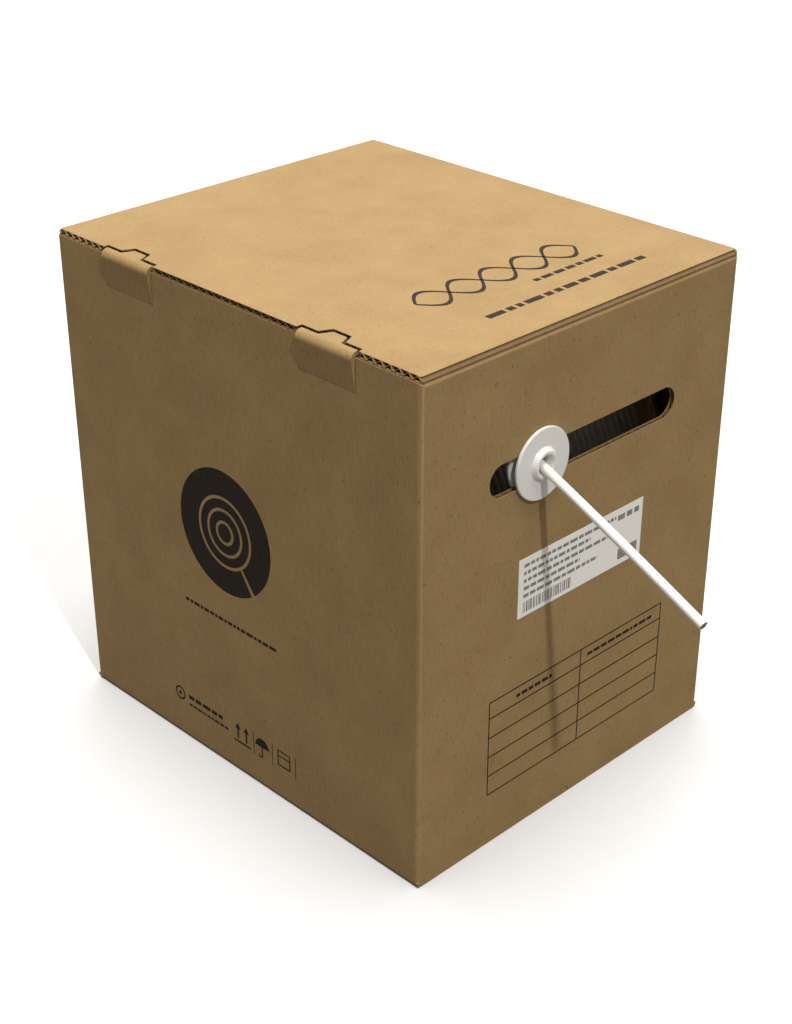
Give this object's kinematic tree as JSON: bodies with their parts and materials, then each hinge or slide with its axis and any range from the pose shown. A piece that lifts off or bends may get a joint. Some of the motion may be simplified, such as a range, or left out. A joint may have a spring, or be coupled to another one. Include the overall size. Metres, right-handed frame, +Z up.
{
  "type": "cable spool box",
  "caption": "Corrugated pull box with a hinged lid, holding a spool of network cable that turns on an axle and pays out through a plastic guide sliding in a slot.",
  "frame": {"origin": "centre of the carton's bottom, on the surface it stands on", "axes": "+Z up; -Y out of the slotted front wall that the cable leaves through; X along the slot and the spool's axle; -X is the side with the lid's lock tongues, +X the side the lid is hinged on"},
  "size_m": [0.3009, 0.4902, 0.365],
  "materials": {
    "kraft_board": "matte kraft liner",
    "tube_board": "matte spiral-wound board",
    "label_paper": "satin coated paper",
    "hot_melt_glue": "waxy",
    "flange_wood": "sanded plywood",
    "bush_plastic": "moulded",
    "zinc_steel": "zinc plated",
    "cable_jacket": "satin PVC",
    "white_plastic": "moulded, semi-gloss"
  },
  "bodies": {
    "carton": {"front_wall": "kraft_board", "rear_wall": "kraft_board", "left_wall": "kraft_board", "right_wall": "kraft_board", "joint_flap": "kraft_board", "bottom_flap_left": "kraft_board", "bottom_flap_right": "kraft_board", "bottom_flap_front": "kraft_board", "bottom_flap_rear": "kraft_board", "bottom_glue": "hot_melt_glue", "shipping_label": "label_paper", "axle_cradle_left": "kraft_board", "axle_cradle_right": "kraft_board", "axle_tube": "tube_board"},
    "lid": {"lid_panel": "kraft_board"},
    "tuck": {"tuck_flap": "kraft_board"},
    "dust_front": {"dust_flap_front": "kraft_board"},
    "dust_rear": {"dust_flap_rear": "kraft_board"},
    "tongue_front": {"lock_tongue_front": "kraft_board"},
    "tongue_rear": {"lock_tongue_rear": "kraft_board"},
    "spool": {"spool_flange_left": "flange_wood", "spool_flange_right": "flange_wood", "hub_bush_left": "bush_plastic", "hub_bush_right": "bush_plastic", "spool_core": "tube_board", "tie_bolts": "zinc_steel", "tie_washers": "zinc_steel", "tie_nuts": "zinc_steel", "cable_winding": "cable_jacket"},
    "guide": {"guide_front": "white_plastic", "guide_rear": "white_plastic", "cable_run": "cable_jacket", "free_cable": "cable_jacket"}
  },
  "joints": [
    {"name": "lid_hinge", "type": "hinge", "parent": "carton", "child": "lid", "pos_m": [0.149, 0, 0.365], "axis": [0, 1, 0], "range_deg": [0, 265]},
    {"name": "tuck_fold", "type": "hinge", "parent": "lid", "child": "tuck", "pos_m": [-0.1446, 0, 0.36009], "axis": [0, -1, 0], "range_deg": [0, 9]},
    {"name": "dust_front_fold", "type": "hinge", "parent": "carton", "child": "dust_front", "pos_m": [0, -0.1705, 0.3567], "axis": [-1, 0, 0], "range_deg": [0, 30]},
    {"name": "dust_rear_fold", "type": "hinge", "parent": "carton", "child": "dust_rear", "pos_m": [0, 0.1705, 0.3567], "axis": [1, 0, 0], "range_deg": [0, 30]},
    {"name": "tongue_front_fold", "type": "hinge", "parent": "carton", "child": "tongue_front", "pos_m": [-0.149, -0.096, 0.3383], "axis": [0, -1, 0], "range_deg": [0, 25]},
    {"name": "tongue_rear_fold", "type": "hinge", "parent": "carton", "child": "tongue_rear", "pos_m": [-0.149, 0.096, 0.3383], "axis": [0, -1, 0], "range_deg": [0, 25]},
    {"name": "spool_turn", "type": "hinge", "parent": "carton", "child": "spool", "pos_m": [0, 0, 0.178], "axis": [1, 0, 0], "continuous": true},
    {"name": "guide_slide", "type": "slide", "parent": "carton", "child": "guide", "axis": [1, 0, 0], "range_m": [-0.0348, 0.1228]}
  ]
}
